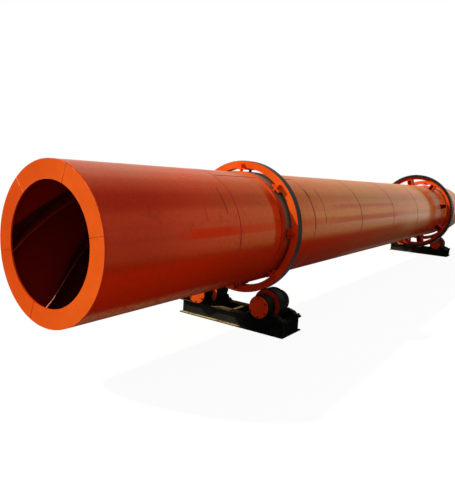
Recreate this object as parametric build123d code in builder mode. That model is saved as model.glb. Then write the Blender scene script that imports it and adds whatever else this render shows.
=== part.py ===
from build123d import *
import os
from math import acos, atan, cos, pi, radians, sin, tan

# Rotary drum dryer: a welded drum on two riding rings, each ring carried by a pair of support rollers
# on a welded beam base, with a girth gear near the discharge end.
# X runs along the drum from the feed end to the discharge end, Y to the left of someone looking that
# way, Z up. The origin lies on the floor under the middle of the drum. Millimetres, angles in degrees,
# measured about the drum's axis from +Y towards +Z.

# Drum shell: courses of rolled plate butt-welded end to end, with a small weld groove at each seam.
drum_radius = 600.0
drum_length = 12000.0
shell_wall = 12.0
course_count = 8
seam_groove = 3.0

# End plates: flat rings welded up from six segments, one at each mouth.
end_plate_width = 143.0
end_plate_thickness = 12.0
segment_count = 6
segment_angle = 48.0
segment_joint_width = 5.0
segment_joint_depth = 3.0

# Spiral flights: twisted strips inside the feed end that carry the feed away from the mouth.
flight_count = 5
flight_height = 118.0
flight_thickness = 6.0
flight_length = 1000.0
flight_lead = 3400.0
flight_angle = -87.0
flight_steps = 7
flight_root_gap = 0.3

# Riding rings: forged rings held off the shell by chairs that stand on a wrapper plate. They run a little
# off the middle of the wider rollers, towards the feed end.
ring_gap = 38.0
ring_thickness = 80.0
ring_width = 88.0
ring_chamfer = 4.0
ring_float = 16.0
feed_overhang = 2384.0
discharge_overhang = 1696.0
wrapper_thickness = 12.0
wrapper_width = 318.0

# Chairs: a pad under the ring on two posts, with a stop rib against each side of the ring.
chair_count = 8
chair_width = 110.0
chair_overhang = 60.0
chair_pad = 16.0
chair_post_width = 18.0
chair_post_length = 34.0
chair_rib = 14.0
chair_rib_height = 44.0
chair_rib_gap = 0.3

# Girth gear: a toothed rim bolted on eight open brackets. The tooth form is an involute.
gear_to_ring = 704.0
gear_width = 130.0
gear_rim = 25.0
gear_flange = 55.0
gear_recess = 30.0
gear_module = 12.0
gear_pressure_angle = 20.0
gear_dedendum_share = 1.25
bracket_count = 8
bracket_angle = 31.0
bracket_height = 145.0
bracket_width = 105.0
bracket_length = 220.0
bracket_wall = 14.0

# Support rollers, two to a ring, and their shafts.
roller_radius = 168.0
roller_width = 168.0
roller_chamfer = 6.0
roller_angle = 27.8
roller_contact_gap = 0.3
shaft_radius = 45.0
shaft_end_gap = 4.0

# Bearings: a round housing on a foot with a lug at each end, closed by a round cap on its outer side.
# The front ones are long and hold the shaft in place, the back ones are short and let it grow.
bearing_radius = 122.0
bearing_lift = 2.5
front_bearing_length = 126.0
back_bearing_length = 82.0
bearing_side_gap = 26.0
bearing_clearance = 0.05
foot_outer = 276.0
foot_inner = 190.0
foot_width = 70.0
foot_height = 64.0
foot_shoulder = 130.0
foot_knee = 205.0
foot_knee_height = 44.0
lug_length = 36.0
lug_height = 14.0
cap_radius = 113.5
cap_thickness = 16.0

# Station bases: mitred frames of I-beams with one cross member, bolted down through the lower flanges.
beam_height = 160.0
beam_width = 88.0
beam_web = 7.0
beam_flange = 10.0
beam_roller_gap = 28.0
base_margin = 5.0
end_web_inset = 14.0
cross_width = 50.0
cross_web = 7.0
anchor_radius = 11.0
anchor_edge = 20.0
anchor_end = 120.0

# Sizes that follow from those above.
feed_ring_distance = feed_overhang
discharge_ring_distance = drum_length - discharge_overhang
gear_distance = discharge_ring_distance - gear_to_ring
shell_bore = drum_radius - shell_wall
course_length = drum_length / course_count
mouth_radius = drum_radius - end_plate_width
wrapper_radius = drum_radius + wrapper_thickness
ring_bore = wrapper_radius + ring_gap
ring_radius = ring_bore + ring_thickness
chair_length = ring_width + chair_overhang + chair_overhang
chair_pad_bore = ring_bore - chair_pad
flight_root = shell_bore - flight_root_gap
flight_middle = flight_root - flight_height / 2
flight_slope = atan(2 * pi * flight_middle / flight_lead)
flight_section = flight_thickness / cos(flight_slope)
gear_bore = drum_radius + bracket_height
gear_rim_bore = gear_bore + gear_flange
gear_root = gear_rim_bore + gear_rim
gear_pitch = gear_root + gear_dedendum_share * gear_module
gear_tip = gear_pitch + gear_module
gear_teeth = round(2 * gear_pitch / gear_module)
roller_reach = ring_radius + roller_contact_gap + roller_radius
roller_side = roller_reach * sin(radians(roller_angle))
roller_drop = roller_reach * cos(radians(roller_angle))
bearing_height = bearing_radius + bearing_lift
bearing_start = roller_width / 2 + bearing_side_gap
front_bearing_end = bearing_start + front_bearing_length
back_bearing_end = bearing_start + back_bearing_length
shaft_front = front_bearing_end - shaft_end_gap
shaft_back = back_bearing_end - shaft_end_gap
roller_height = beam_height + bearing_height
axis_height = roller_height + roller_drop
base_half_width = roller_width / 2 + beam_roller_gap + beam_width
base_half_length = roller_side + foot_outer + base_margin
beam_middle = base_half_width - beam_width / 2
web_outer = (beam_width - beam_web) / 2
web_inner = (beam_width + beam_web) / 2
end_web_inner = end_web_inset + beam_web
web_height = beam_height - beam_flange - beam_flange
feed_station = feed_ring_distance + ring_float - drum_length / 2
discharge_station = discharge_ring_distance + ring_float - drum_length / 2

os.makedirs("parts", exist_ok=True)


def across(distance, facing=1):
    """The plane across the drum's axis at a distance from the feed end."""
    middle = (distance - drum_length / 2, 0, axis_height)
    return Plane(origin=middle, x_dir=(0, 1, 0), z_dir=(facing, 0, 0))


# Shell courses.
for number in range(course_count):
    course_start = max(number * course_length, end_plate_thickness)
    course_end = min((number + 1) * course_length, drum_length - end_plate_thickness)
    with BuildPart() as shell_course:
        with BuildSketch(across(course_start)):
            Circle(drum_radius)
            Circle(shell_bore, mode=Mode.SUBTRACT)
        extrude(amount=course_end - course_start)
        rims = shell_course.edges().filter_by(GeomType.CIRCLE).group_by(SortBy.RADIUS)[-1]
        chamfer(rims, length=seam_groove)
    node = f"shell_course_{number + 1}"
    shell_course.part.label = node
    export_step(shell_course.part, f"parts/{node}.step")

# End plates, with the joints of their segments cut as shallow grooves in the outer face.
for end, distance, facing in (("feed", 0, 1), ("discharge", drum_length, -1)):
    with BuildPart() as end_plate:
        with BuildSketch(across(distance, facing)):
            Circle(drum_radius)
            Circle(mouth_radius, mode=Mode.SUBTRACT)
        extrude(amount=end_plate_thickness)
        with BuildSketch(across(distance, facing)):
            with PolarLocations(0, segment_count, start_angle=segment_angle):
                Rectangle(
                    drum_radius + end_plate_width,
                    segment_joint_width,
                    align=(Align.MIN, Align.CENTER),
                )
        extrude(amount=segment_joint_depth, mode=Mode.SUBTRACT)
    node = f"{end}_end_plate"
    end_plate.part.label = node
    export_step(end_plate.part, f"parts/{node}.step")

# Spiral flights: each is lofted through strips that turn about the axis as they go inwards.
with BuildPart() as spiral_flights:
    for strip in range(flight_count):
        for step in range(flight_steps + 1):
            advance = flight_length * step / flight_steps
            turn = flight_angle + 360 * strip / flight_count + 360 * advance / flight_lead
            with BuildSketch(across(end_plate_thickness + advance)):
                with PolarLocations(flight_middle, 1, start_angle=turn):
                    Rectangle(flight_height, flight_section)
        loft(ruled=True)
spiral_flights.part.label = "spiral_flights"
export_step(spiral_flights.part, "parts/spiral_flights.step")

# Riding rings with the wrapper plates and the chairs that carry them.
for end, distance in (("feed", feed_ring_distance), ("discharge", discharge_ring_distance)):
    with BuildPart() as wrapper:
        with BuildSketch(across(distance - wrapper_width / 2)):
            Circle(wrapper_radius)
            Circle(drum_radius, mode=Mode.SUBTRACT)
        extrude(amount=wrapper_width)
    node = f"{end}_wrapper_plate"
    wrapper.part.label = node
    export_step(wrapper.part, f"parts/{node}.step")

    with BuildPart() as riding_ring:
        with BuildSketch(across(distance - ring_width / 2)):
            Circle(ring_radius)
            Circle(ring_bore, mode=Mode.SUBTRACT)
        extrude(amount=ring_width)
        rims = riding_ring.edges().filter_by(GeomType.CIRCLE).group_by(SortBy.RADIUS)[-1]
        chamfer(rims, length=ring_chamfer)
    node = f"{end}_riding_ring"
    riding_ring.part.label = node
    export_step(riding_ring.part, f"parts/{node}.step")

    chair_start = distance - chair_length / 2
    chair_end = distance + chair_length / 2
    rib_length = chair_overhang - chair_rib_gap
    with BuildPart() as ring_chairs:
        with BuildSketch(across(chair_start)):
            with PolarLocations(0, chair_count):
                Rectangle(ring_radius, chair_width, align=(Align.MIN, Align.CENTER))
            Circle(ring_bore, mode=Mode.INTERSECT)
            Circle(chair_pad_bore, mode=Mode.SUBTRACT)
        extrude(amount=chair_length)
        for post_start in (chair_start, chair_end - chair_post_length):
            with BuildSketch(across(post_start)):
                with PolarLocations(0, chair_count):
                    Rectangle(ring_radius, chair_post_width, align=(Align.MIN, Align.CENTER))
                Circle(ring_bore - chair_pad / 2, mode=Mode.INTERSECT)
                Circle(wrapper_radius, mode=Mode.SUBTRACT)
            extrude(amount=chair_post_length)
        for rib_start in (chair_start, chair_end - rib_length):
            with BuildSketch(across(rib_start)):
                with PolarLocations(0, chair_count):
                    Rectangle(ring_radius, chair_rib, align=(Align.MIN, Align.CENTER))
                Circle(ring_bore + chair_rib_height, mode=Mode.INTERSECT)
                Circle(ring_bore - chair_pad / 2, mode=Mode.SUBTRACT)
            extrude(amount=rib_length)
    node = f"{end}_ring_chairs"
    ring_chairs.part.label = node
    export_step(ring_chairs.part, f"parts/{node}.step")


# Girth gear: the flank of each tooth follows the involute of the base circle.
def involute(angle):
    return tan(angle) - angle


def flank(radius):
    """Half the angle that a tooth takes up at a radius, in radians."""
    base = gear_pitch * cos(radians(gear_pressure_angle))
    at_pitch = pi / (2 * gear_teeth) + involute(radians(gear_pressure_angle))
    return at_pitch - involute(acos(min(base / radius, 1)))


gear_outline = []
for tooth in range(gear_teeth):
    tooth_turn = 2 * pi * tooth / gear_teeth
    rising = [(radius, -flank(radius)) for radius in (gear_root, gear_pitch, gear_tip)]
    falling = [(radius, flank(radius)) for radius in (gear_tip, gear_pitch, gear_root)]
    for radius, swing in rising + falling:
        gear_outline.append((radius * cos(tooth_turn + swing), radius * sin(tooth_turn + swing)))

with BuildPart() as girth_gear:
    with BuildSketch(across(gear_distance - gear_width / 2)):
        with BuildLine():
            Polyline(*gear_outline, close=True)
        make_face()
        Circle(gear_bore, mode=Mode.SUBTRACT)
    extrude(amount=gear_width)
    # The flange inside the rim is set back on both sides.
    for recess_start in (gear_distance - gear_width / 2, gear_distance + gear_width / 2 - gear_recess):
        with BuildSketch(across(recess_start)):
            Circle(gear_rim_bore)
        extrude(amount=gear_recess, mode=Mode.SUBTRACT)
girth_gear.part.label = "girth_gear"
export_step(girth_gear.part, "parts/girth_gear.step")

# Gear brackets: two side plates, a seat plate and a back plate each, open at the front.
bracket_inner = bracket_width - bracket_wall - bracket_wall
with BuildPart() as gear_brackets:
    with BuildSketch(across(gear_distance - bracket_length / 2)):
        with PolarLocations(0, bracket_count, start_angle=bracket_angle):
            Rectangle(gear_tip, bracket_width, align=(Align.MIN, Align.CENTER))
        with PolarLocations(0, bracket_count, start_angle=bracket_angle):
            Rectangle(
                gear_bore - bracket_wall,
                bracket_inner,
                align=(Align.MIN, Align.CENTER),
                mode=Mode.SUBTRACT,
            )
        Circle(gear_bore, mode=Mode.INTERSECT)
        Circle(drum_radius, mode=Mode.SUBTRACT)
    extrude(amount=bracket_length)
    with BuildSketch(across(gear_distance + bracket_length / 2 - bracket_wall)):
        with PolarLocations(0, bracket_count, start_angle=bracket_angle):
            Rectangle(gear_tip, bracket_width, align=(Align.MIN, Align.CENTER))
        Circle(gear_bore, mode=Mode.INTERSECT)
        Circle(drum_radius, mode=Mode.SUBTRACT)
    extrude(amount=bracket_wall)
gear_brackets.part.label = "gear_brackets"
export_step(gear_brackets.part, "parts/gear_brackets.step")


# Outlines, seen from above, of a strip that runs along a base's edge and is mitred at the corners.
# The edges of the strips lie at given distances from the base's long sides and from its ends.
def long_strip(outer, inner, end_outer, end_inner, side):
    return [
        (side * (base_half_width - outer), end_outer - base_half_length),
        (side * (base_half_width - outer), base_half_length - end_outer),
        (side * (base_half_width - inner), base_half_length - end_inner),
        (side * (base_half_width - inner), end_inner - base_half_length),
    ]


def end_strip(outer, inner, end_outer, end_inner, side):
    return [
        (outer - base_half_width, side * (base_half_length - end_outer)),
        (base_half_width - outer, side * (base_half_length - end_outer)),
        (base_half_width - inner, side * (base_half_length - end_inner)),
        (inner - base_half_width, side * (base_half_length - end_inner)),
    ]


# Outline of a bearing's foot, seen along the shaft from its centre. It slopes further out on its outer side.
def foot_outline(side):
    lug_top = lug_height - bearing_height
    foot_top = foot_height - bearing_height
    corners = [
        (-foot_inner, -bearing_height),
        (foot_outer, -bearing_height),
        (foot_outer, lug_top),
        (foot_outer - lug_length, lug_top),
        (foot_knee, foot_knee_height - bearing_height),
        (foot_shoulder, foot_top),
        (-foot_shoulder, foot_top),
        (lug_length - foot_inner, lug_top),
        (-foot_inner, lug_top),
    ]
    return [(side * outward, height) for outward, height in corners]


anchor_side = base_half_width - anchor_edge
anchor_along = base_half_length - anchor_end
cross_half = base_half_width - web_inner

for end, station in (("feed", feed_station), ("discharge", discharge_station)):
    floor_plane = Plane(origin=(station, 0, 0))

    # The four beams of the base.
    for beam_name, strip, side in (
        ("front_beam", long_strip, -1),
        ("back_beam", long_strip, 1),
        ("left_end_beam", end_strip, 1),
        ("right_end_beam", end_strip, -1),
    ):
        with BuildPart() as beam:
            with BuildSketch(floor_plane):
                with BuildLine():
                    Polyline(*strip(0, beam_width, 0, beam_width, side), close=True)
                make_face()
                if strip is long_strip:
                    with Locations(
                        (side * anchor_side, anchor_along), (side * anchor_side, -anchor_along)
                    ):
                        Circle(anchor_radius, mode=Mode.SUBTRACT)
            extrude(amount=beam_flange)
            with BuildSketch(floor_plane.offset(beam_flange)):
                with BuildLine():
                    Polyline(*strip(web_outer, web_inner, end_web_inset, end_web_inner, side), close=True)
                make_face()
            extrude(amount=web_height)
            with BuildSketch(floor_plane.offset(beam_flange + web_height)):
                with BuildLine():
                    Polyline(*strip(0, beam_width, 0, beam_width, side), close=True)
                make_face()
            extrude(amount=beam_flange)
        node = f"{end}_{beam_name}"
        beam.part.label = node
        export_step(beam.part, f"parts/{node}.step")

    # Cross member: a channel between the webs of the long beams.
    cross_plane = Plane(
        origin=(station - cross_half, 0, beam_flange), x_dir=(0, 1, 0), z_dir=(1, 0, 0)
    )
    with BuildPart() as cross_member:
        with BuildSketch(cross_plane):
            Rectangle(cross_width, web_height, align=(Align.CENTER, Align.MIN))
            with Locations((cross_web, beam_flange)):
                Rectangle(
                    cross_width,
                    web_height - beam_flange - beam_flange,
                    align=(Align.CENTER, Align.MIN),
                    mode=Mode.SUBTRACT,
                )
        extrude(amount=cross_half + cross_half)
    node = f"{end}_cross_member"
    cross_member.part.label = node
    export_step(cross_member.part, f"parts/{node}.step")

    # Rollers, shafts and bearings, then the caps of all four bearings.
    for side_name, side in (("left", 1), ("right", -1)):
        roller_plane = Plane(
            origin=(station, side * roller_side, roller_height), x_dir=(0, 1, 0), z_dir=(1, 0, 0)
        )
        with BuildPart() as roller:
            with BuildSketch(roller_plane):
                Circle(roller_radius)
                Circle(shaft_radius, mode=Mode.SUBTRACT)
            extrude(amount=roller_width / 2, both=True)
            rims = roller.edges().filter_by(GeomType.CIRCLE).group_by(SortBy.RADIUS)[-1]
            chamfer(rims, length=roller_chamfer)
        node = f"{end}_{side_name}_roller"
        roller.part.label = node
        export_step(roller.part, f"parts/{node}.step")

        with BuildPart() as shaft:
            with BuildSketch(roller_plane.offset(-shaft_front)):
                Circle(shaft_radius)
            extrude(amount=shaft_front + shaft_back)
        node = f"{end}_{side_name}_shaft"
        shaft.part.label = node
        export_step(shaft.part, f"parts/{node}.step")

        with BuildPart() as bearings:
            for foot_middle, bearing_first, bearing_length in (
                (-beam_middle, -front_bearing_end, front_bearing_length),
                (beam_middle, bearing_start, back_bearing_length),
            ):
                with BuildSketch(roller_plane.offset(foot_middle)):
                    with BuildLine():
                        Polyline(*foot_outline(side), close=True)
                    make_face()
                extrude(amount=foot_width / 2, both=True)
                with BuildSketch(roller_plane.offset(bearing_first)):
                    Circle(bearing_radius)
                extrude(amount=bearing_length)
                with BuildSketch(roller_plane.offset(bearing_first)):
                    Circle(shaft_radius + bearing_clearance)
                extrude(amount=bearing_length, mode=Mode.SUBTRACT)
        node = f"{end}_{side_name}_bearings"
        bearings.part.label = node
        export_step(bearings.part, f"parts/{node}.step")

    with BuildPart() as bearing_caps:
        for cap_start in (station - front_bearing_end - cap_thickness, station + back_bearing_end):
            cap_plane = Plane(
                origin=(cap_start, 0, roller_height), x_dir=(0, 1, 0), z_dir=(1, 0, 0)
            )
            with BuildSketch(cap_plane):
                with Locations((roller_side, 0), (-roller_side, 0)):
                    Circle(cap_radius)
            extrude(amount=cap_thickness)
    node = f"{end}_bearing_caps"
    bearing_caps.part.label = node
    export_step(bearing_caps.part, f"parts/{node}.step")
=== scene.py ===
import math
import random

import bmesh
import bpy
from mathutils import Matrix, Vector


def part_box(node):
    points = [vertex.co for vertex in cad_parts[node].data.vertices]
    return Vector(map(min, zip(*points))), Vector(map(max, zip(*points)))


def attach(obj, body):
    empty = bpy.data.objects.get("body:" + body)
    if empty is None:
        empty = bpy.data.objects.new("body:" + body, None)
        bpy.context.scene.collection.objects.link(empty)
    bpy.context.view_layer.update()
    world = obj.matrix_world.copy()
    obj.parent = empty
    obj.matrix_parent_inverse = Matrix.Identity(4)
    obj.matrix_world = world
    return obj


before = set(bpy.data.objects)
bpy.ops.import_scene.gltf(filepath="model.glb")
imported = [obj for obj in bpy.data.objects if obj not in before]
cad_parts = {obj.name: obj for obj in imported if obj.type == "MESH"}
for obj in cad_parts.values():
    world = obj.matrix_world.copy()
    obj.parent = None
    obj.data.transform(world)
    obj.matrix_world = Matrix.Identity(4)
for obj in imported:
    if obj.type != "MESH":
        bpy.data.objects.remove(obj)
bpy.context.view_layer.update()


# Station bases: two frames of rolled I-beams, mitred at the corners and tied by a channel, all welded.
# Hot-rolled steel under brushed black paint. Dust has settled on the flanges and the edges are rubbed.
def wire(tree, kind, inputs, **options):
    """Adds a node to a tree with its options, and links or sets its inputs."""
    node = tree.nodes.new(kind)
    for option, value in options.items():
        setattr(node, option, value)
    for socket, value in inputs.items():
        if isinstance(value, bpy.types.NodeSocket):
            tree.links.new(value, node.inputs[socket])
        else:
            node.inputs[socket].default_value = value
    return node


def sum_up(tree, operation, first, second):
    """One sum of two values, such as ADD or MAXIMUM."""
    return wire(tree, "ShaderNodeMath", {0: first, 1: second}, operation=operation).outputs[0]


def times(tree, *values):
    """The product of two values or more."""
    product = values[0]
    for value in values[1:]:
        product = sum_up(tree, "MULTIPLY", product, value)
    return product


def noise(tree, vector, scale, detail, roughness=0.5):
    """Cloudy noise over the surface."""
    inputs = {"Vector": vector, "Scale": scale, "Detail": detail, "Roughness": roughness}
    return wire(tree, "ShaderNodeTexNoise", inputs).outputs["Fac"]


def spot_on(tree):
    """Where a point of the surface lies in the part's frame."""
    place = tree.nodes.new("ShaderNodeTexCoord").outputs["Object"]
    return wire(tree, "ShaderNodeSeparateXYZ", {0: place}).outputs


def rise(tree, value, low, high):
    """A mask that climbs smoothly from 0 at low to 1 at high, or falls where low is the larger."""
    limits = {"Value": value, "From Min": low, "From Max": high}
    if low > high:
        limits = {"Value": value, "From Min": high, "From Max": low, "To Min": 1.0, "To Max": 0.0}
    return wire(tree, "ShaderNodeMapRange", limits, interpolation_type="SMOOTHSTEP").outputs["Result"]


def cover(tree, mask, under, over):
    """The colour under, with the colour over laid on it where the mask says."""
    mixed = wire(tree, "ShaderNodeMix", {"Factor": mask}, data_type="RGBA")
    for socket, colour in ((mixed.inputs[6], under), (mixed.inputs[7], over)):
        if isinstance(colour, bpy.types.NodeSocket):
            tree.links.new(colour, socket)
        else:
            socket.default_value = (*colour, 1.0)
    return mixed.outputs[2]


def effect(name, inputs, outputs):
    """An empty shader group with named sockets: its tree, its inputs and its output node."""
    tree = bpy.data.node_groups.new(name, "ShaderNodeTree")
    for label, value in inputs.items():
        socket = tree.interface.new_socket(name=label, in_out="INPUT", socket_type="NodeSocketFloat")
        socket.default_value = value
    for label in outputs:
        tree.interface.new_socket(name=label, in_out="OUTPUT", socket_type="NodeSocketFloat")
    return tree, tree.nodes.new("NodeGroupInput").outputs, tree.nodes.new("NodeGroupOutput")


def place_effect(tree, group, **values):
    """Places an effect in a material with its own values, and gives its outputs."""
    node = tree.nodes.new("ShaderNodeGroup")
    node.node_tree = group
    for label, value in values.items():
        socket = node.inputs[label.replace("_", " ").capitalize()]
        if isinstance(value, bpy.types.NodeSocket):
            tree.links.new(value, socket)
        else:
            socket.default_value = value
    return node.outputs


def mask_of(tree, group, **values):
    """Places an effect that gives one mask, and gives that mask."""
    return place_effect(tree, group, **values)["Mask"]


# Settled dust lies where a surface faced up when the part was set down, in uneven patches.
settled_dust, given, result = effect("settled_dust", {"Amount": 1.0, "Patch scale": 3.0}, ["Mask"])
place = settled_dust.nodes.new("ShaderNodeTexCoord").outputs
upward = wire(settled_dust, "ShaderNodeSeparateXYZ", {0: place["Normal"]}).outputs["Z"]
patches = noise(settled_dust, place["Object"], given["Patch scale"], 7.0, 0.65)
patches = rise(settled_dust, patches, 0.3, 0.6)
lying = times(settled_dust, rise(settled_dust, upward, 0.25, 0.95), patches, given["Amount"])
settled_dust.links.new(lying, result.inputs["Mask"])

# Brush mottle is the uneven tone of hand-laid paint, with the fine grain that its skin shows close up.
brush_mottle, given, result = effect(
    "brush_mottle", {"Tone scale": 2.0, "Grain scale": 180.0}, ["Tone", "Grain"]
)
place = brush_mottle.nodes.new("ShaderNodeTexCoord").outputs
tone = noise(brush_mottle, place["Object"], given["Tone scale"], 8.0, 0.6)
grain = noise(brush_mottle, place["Object"], given["Grain scale"], 3.0)
brush_mottle.links.new(rise(brush_mottle, tone, 0.3, 0.7), result.inputs["Tone"])
brush_mottle.links.new(grain, result.inputs["Grain"])


def mottled(tree, tone_scale, grain_scale):
    """The tone and the grain of brush mottle in a material."""
    return place_effect(tree, brush_mottle, tone_scale=tone_scale, grain_scale=grain_scale)


# Rubbed edges show where paint has worn through: a rounded normal departs from the flat one there.
rubbed_edge, given, result = effect("rubbed_edge", {"Width": 0.006, "Amount": 1.0}, ["Mask"])
place = rubbed_edge.nodes.new("ShaderNodeTexCoord").outputs
rounded = wire(rubbed_edge, "ShaderNodeBevel", {"Radius": given["Width"]}, samples=4).outputs["Normal"]
flat = rubbed_edge.nodes.new("ShaderNodeNewGeometry").outputs["True Normal"]
alike = wire(rubbed_edge, "ShaderNodeVectorMath", {0: rounded, 1: flat}, operation="DOT_PRODUCT")
edge = rise(rubbed_edge, alike.outputs["Value"], 0.995, 0.86)
chips = noise(rubbed_edge, place["Object"], 24.0, 6.0)
edge_mark = times(rubbed_edge, edge, rise(rubbed_edge, chips, 0.42, 0.62), given["Amount"])
rubbed_edge.links.new(edge_mark, result.inputs["Mask"])


def new_finish(name, **constants):
    """An empty material: its tree and its shader, with the values that are the same all over set on it."""
    material = bpy.data.materials.new(name)
    material.use_nodes = True
    shader = material.node_tree.nodes["Principled BSDF"]
    for label, value in constants.items():
        shader.inputs[label.replace("_", " ").title().replace("Ior", "IOR")].default_value = value
    return material, material.node_tree, shader.inputs


def feed(tree, shader, colour, roughness, height, strength, depth):
    """Links a finish's colour, roughness and relief to its shader."""
    tree.links.new(colour, shader["Base Color"])
    tree.links.new(roughness, shader["Roughness"])
    bump = wire(tree, "ShaderNodeBump", {"Height": height, "Strength": strength, "Distance": depth})
    tree.links.new(bump.outputs["Normal"], shader["Normal"])


def dress(material, *nodes):
    """Gives CAD nodes a finish."""
    for node in nodes:
        for material_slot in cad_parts[node].material_slots:
            material_slot.material = material


def range_of(tree, mask, low, high):
    """A value that goes from low to high as the mask goes from 0 to 1."""
    limits = {"Value": mask, "To Min": low, "To Max": high}
    return wire(tree, "ShaderNodeMapRange", limits).outputs["Result"]


base_black, tree, shader = new_finish("base_black_paint", specular_ior_level=0.0)
tone, grain = mottled(tree, 3.0, 120.0)
dusty = mask_of(tree, settled_dust, amount=0.95, patch_scale=5.0)
rubbed = mask_of(tree, rubbed_edge, width=0.008, amount=0.9)
# Dust lies thick on the left and thin on the right, and is paler near the floor. The paint and the rubbed
# edges are painted darker on the right, where the drum's shadow falls: painted shade.
spot = spot_on(tree)
lit_dusty_side = rise(tree, spot["Y"], -0.32, 0.05)
left_tone = cover(tree, tone, (0.013, 0.0127, 0.0098), (0.027, 0.0255, 0.019))
right_tone = cover(tree, tone, (0.0042, 0.0042, 0.0040), (0.0096, 0.0096, 0.0084))
colour = cover(tree, lit_dusty_side, right_tone, left_tone)
dusty = times(tree, dusty, range_of(tree, lit_dusty_side, 0.02, 1.0))
colour = cover(tree, rubbed, colour, cover(tree, lit_dusty_side, (0.026, 0.025, 0.018), (0.085, 0.060, 0.028)))
dust = cover(tree, rise(tree, spot["Z"], 0.02, 0.12), (0.50, 0.33, 0.13), (0.19, 0.12, 0.050))
colour = cover(tree, dusty, colour, dust)
roughness = sum_up(tree, "MAXIMUM", range_of(tree, tone, 0.42, 0.6), range_of(tree, dusty, 0.0, 0.9))
feed(tree, shader, colour, roughness, grain, strength=0.35, depth=0.002)

stations = ("feed", "discharge")
base_pieces = ("front_beam", "back_beam", "left_end_beam", "right_end_beam", "cross_member")


def dress_stations(material, *parts):
    """Gives the same pieces of both stations a finish."""
    dress(material, *(f"{station}_{part}" for station in stations for part in parts))


dress_stations(base_black, *base_pieces)
scene = bpy.context.scene


def new_piece(name, shape, material):
    """Turns a shape into a named piece in its place."""
    mesh = bpy.data.meshes.new(name)
    shape.to_mesh(mesh)
    shape.free()
    mesh.materials.append(material)
    piece = bpy.data.objects.new(name, mesh)
    scene.collection.objects.link(piece)
    return piece


def show(name, shape, material, body):
    """Adds a piece that rides on a body."""
    bmesh.ops.recalc_face_normals(shape, faces=shape.faces)
    piece = new_piece(name, shape, material)
    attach(piece, body)


def loft_rings(shape, rings, closed=False, smooth=True):
    """Skins a row of rings of points, closing each end with a face or joining the last to the first."""
    rows = [[shape.verts.new(point) for point in ring] for ring in rings]
    pairs = list(zip(rows, rows[1:])) + ([(rows[-1], rows[0])] if closed else [])
    for near, far in pairs:
        for i in range(len(near)):
            j = (i + 1) % len(near)
            face = shape.faces.new((near[i], near[j], far[j], far[i]))
            face.smooth = smooth
    if not closed:
        shape.faces.new(rows[0])
        shape.faces.new(rows[-1])


# Share of the width and of the height at each point of a weld bead's section, from toe to toe.
bead_section_shares = ((-0.5, -0.35), (-0.34, 0.62), (0.0, 1.0), (0.34, 0.62), (0.5, -0.35))
bead_step = 0.009
bead_chance = random.Random(4)


def ripple_at(step):
    """How high one pass of a weld bead stands, as a share of the bead's height."""
    return 1.0 + 0.22 * math.cos(math.pi * step) + bead_chance.uniform(-0.12, 0.12)


def bead(shape, start, end, outward, width, height):
    """A straight weld bead with the ripples of its passes, lying on a face whose outward way is given."""
    start, end, outward = Vector(start), Vector(end), Vector(outward).normalized()
    run = end - start
    across = run.normalized().cross(outward)
    steps = max(3, round(run.length / bead_step))
    rings = []
    for step in range(steps + 1):
        ripple = ripple_at(step)
        taper = 0.55 if step in (0, steps) else 1.0
        centre = start + run * (step / steps)
        rings.append(
            [centre + across * (side * width * taper) + outward * (lift * height * ripple * taper)
             for side, lift in bead_section_shares]
        )
    loft_rings(shape, rings)


weld_width = 0.012
weld_height = 0.005
beam_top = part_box("feed_front_beam")[1].z
flange_thickness = 0.010
end_web_inset = 0.014
up = (0, 0, 1)
beam_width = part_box("feed_front_beam")[1].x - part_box("feed_front_beam")[0].x
for station in stations:
    welds = bmesh.new()
    low = Vector(map(min, *(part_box(f"{station}_{part}")[0] for part in base_pieces)))
    high = Vector(map(max, *(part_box(f"{station}_{part}")[1] for part in base_pieces)))
    for x, inward_x in ((low.x, 1), (high.x, -1)):
        for y, inward_y in ((low.y, 1), (high.y, -1)):
            inner = (x + inward_x * beam_width, y + inward_y * beam_width)
            web = (x + inward_x * beam_width / 2, y + inward_y * end_web_inset)
            bead(welds, (x, y, beam_top), (*inner, beam_top), up, weld_width, weld_height / 3)
            mitre = (x + inward_x * end_web_inset, y + inward_y * end_web_inset)
            bead(welds, (x, y, flange_thickness), (*mitre, flange_thickness), up, weld_width, weld_height)
            corner = (-inward_x, -inward_y, 0)
            seat = (web[0] - inward_x * weld_height / 2, web[1])
            foot, head = (*seat, flange_thickness), (*seat, beam_top - flange_thickness)
            bead(welds, foot, head, corner, weld_height, weld_height / 3)
    cross_low, cross_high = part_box(f"{station}_cross_member")
    for x, way in ((cross_low.x, 1), (cross_high.x, -1)):
        for y in (cross_low.y, cross_high.y):
            side = (way, -1 if y == cross_low.y else 1, 0)
            bead(welds, (x, y, cross_low.z), (x, y, cross_high.z), side, weld_width, weld_height)
    show(f"{station}_base_welds", welds, base_black, "base")


# Bearings: round cast housings on feet with a lug at each end, one on each long beam for every shaft.
# Grey iron under black paint, greasy near the shaft, held down by four hexagon bolts a foot.
housing_black, tree, shader = new_finish("housing_black_paint", specular_ior_level=0.008)
tone, grain = mottled(tree, 5.0, 90.0)
dusty = mask_of(tree, settled_dust, amount=0.06, patch_scale=9.0)
rubbed = mask_of(tree, rubbed_edge, width=0.005, amount=0.6)
colour = cover(tree, tone, (0.003, 0.0033, 0.003), (0.0085, 0.0088, 0.0074))
colour = cover(tree, rubbed, colour, (0.05, 0.04, 0.03))
# The feet and the lower halves are black with grease that has run down.
greasy = times(tree, rise(tree, spot_on(tree)["Z"], 0.37, 0.26), range_of(tree, tone, 0.7, 0.95))
colour = cover(tree, greasy, colour, (0.0022, 0.0023, 0.0020))
colour = cover(tree, dusty, colour, (0.17, 0.125, 0.08))
roughness = sum_up(tree, "MAXIMUM", range_of(tree, tone, 0.36, 0.55), range_of(tree, dusty, 0.0, 0.9))
feed(tree, shader, colour, roughness, grain, strength=0.5, depth=0.0025)
sides = ("left", "right")
dress_stations(housing_black, "left_bearings", "right_bearings")


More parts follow.
